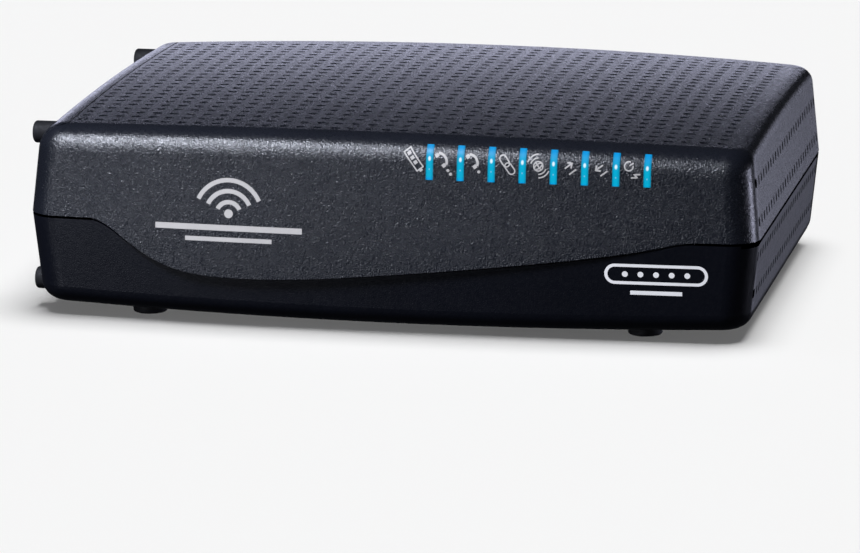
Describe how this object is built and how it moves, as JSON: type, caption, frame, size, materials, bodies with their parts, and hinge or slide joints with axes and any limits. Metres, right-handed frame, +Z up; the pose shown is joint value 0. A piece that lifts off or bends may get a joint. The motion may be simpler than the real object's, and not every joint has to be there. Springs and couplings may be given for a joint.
{
  "type": "cable modem",
  "caption": "Flat desktop cable modem with telephone ports: vented clamshell casing, front status lights, pull-off battery door, and cable, phone, network and mains sockets at the back.",
  "frame": {"origin": "middle of the modem's bounding box in plan, on the surface its four bottom feet stand on", "axes": "+Z up, +X to the right seen from the front; the front with the status lights faces -Y"},
  "size_m": [0.217, 0.1607, 0.0595],
  "materials": {
    "upper_casing": "coarse spark-eroded grain",
    "lower_casing": "fine satin grain",
    "rubber": "matt",
    "screw_steel": "zinc plated",
    "nickel": "nickel plated",
    "panel": "matt",
    "lens": "clear, lit from within",
    "black_plastic": "matt",
    "grey_plastic": "matt",
    "led_white": "gloss",
    "board_green": "solder mask",
    "copper_gold": "gold plated",
    "ptfe": "satin",
    "battery_wrap": "satin",
    "strap": "woven tape",
    "chip_black": "matt",
    "aluminium": "brushed",
    "tin": "tin plated",
    "ferrite": "matt",
    "yellow_tape": "polyester tape",
    "capacitor_sleeve": "shrink sleeve",
    "glass": "clear",
    "reset_plastic": "satin"
  },
  "bodies": {
    "modem": {"upper_shell": "upper_casing", "lower_shell": "lower_casing", "bottom_feet": "rubber", "shell_screws": "screw_steel", "rear_panel": "panel", "light_pipe_holder": "black_plastic", "status_leds": "led_white", "battery_bay": "black_plastic", "battery_contacts": "copper_gold", "battery_pack": "battery_wrap", "battery_pull_tab": "strap", "ethernet_jack": "tin", "ethernet_contacts": "copper_gold", "phone_jack_1": "grey_plastic", "phone_jack_2": "grey_plastic", "phone_contacts": "copper_gold", "power_inlet": "black_plastic", "power_pins": "nickel", "coax_connector": "nickel", "coax_insulator": "ptfe", "coax_contact": "copper_gold", "coax_nut": "nickel", "reset_switch": "chip_black", "main_board": "board_green", "board_screws": "screw_steel", "capacitors": "capacitor_sleeve", "mains_choke": "ferrite", "processor": "chip_black", "processor_heat_sink": "aluminium", "memory_chips": "chip_black", "line_relays": "ptfe", "tuner_shield": "tin", "power_heat_sink": "aluminium", "transformer_core": "ferrite", "transformer_coil": "yellow_tape", "transformer_base": "black_plastic", "fuse": "glass", "fuse_clips": "tin", "battery_light": "lens", "tel_2_light": "lens", "tel_1_light": "lens", "link_light": "lens", "online_light": "lens", "upstream_light": "lens", "downstream_light": "lens", "power_light": "lens"},
    "battery_door": {"battery_door": "upper_casing", "stand_feet": "rubber"},
    "reset_button": {"reset_button": "reset_plastic"}
  },
  "joints": [
    {"name": "battery_door_slide", "type": "slide", "parent": "modem", "child": "battery_door", "axis": [-1, 0, 0], "range_m": [0, 0.03]},
    {"name": "reset_press", "type": "slide", "parent": "modem", "child": "reset_button", "axis": [0, -1, 0], "range_m": [0, 0.0008], "stiffness_N_per_m": 600}
  ]
}
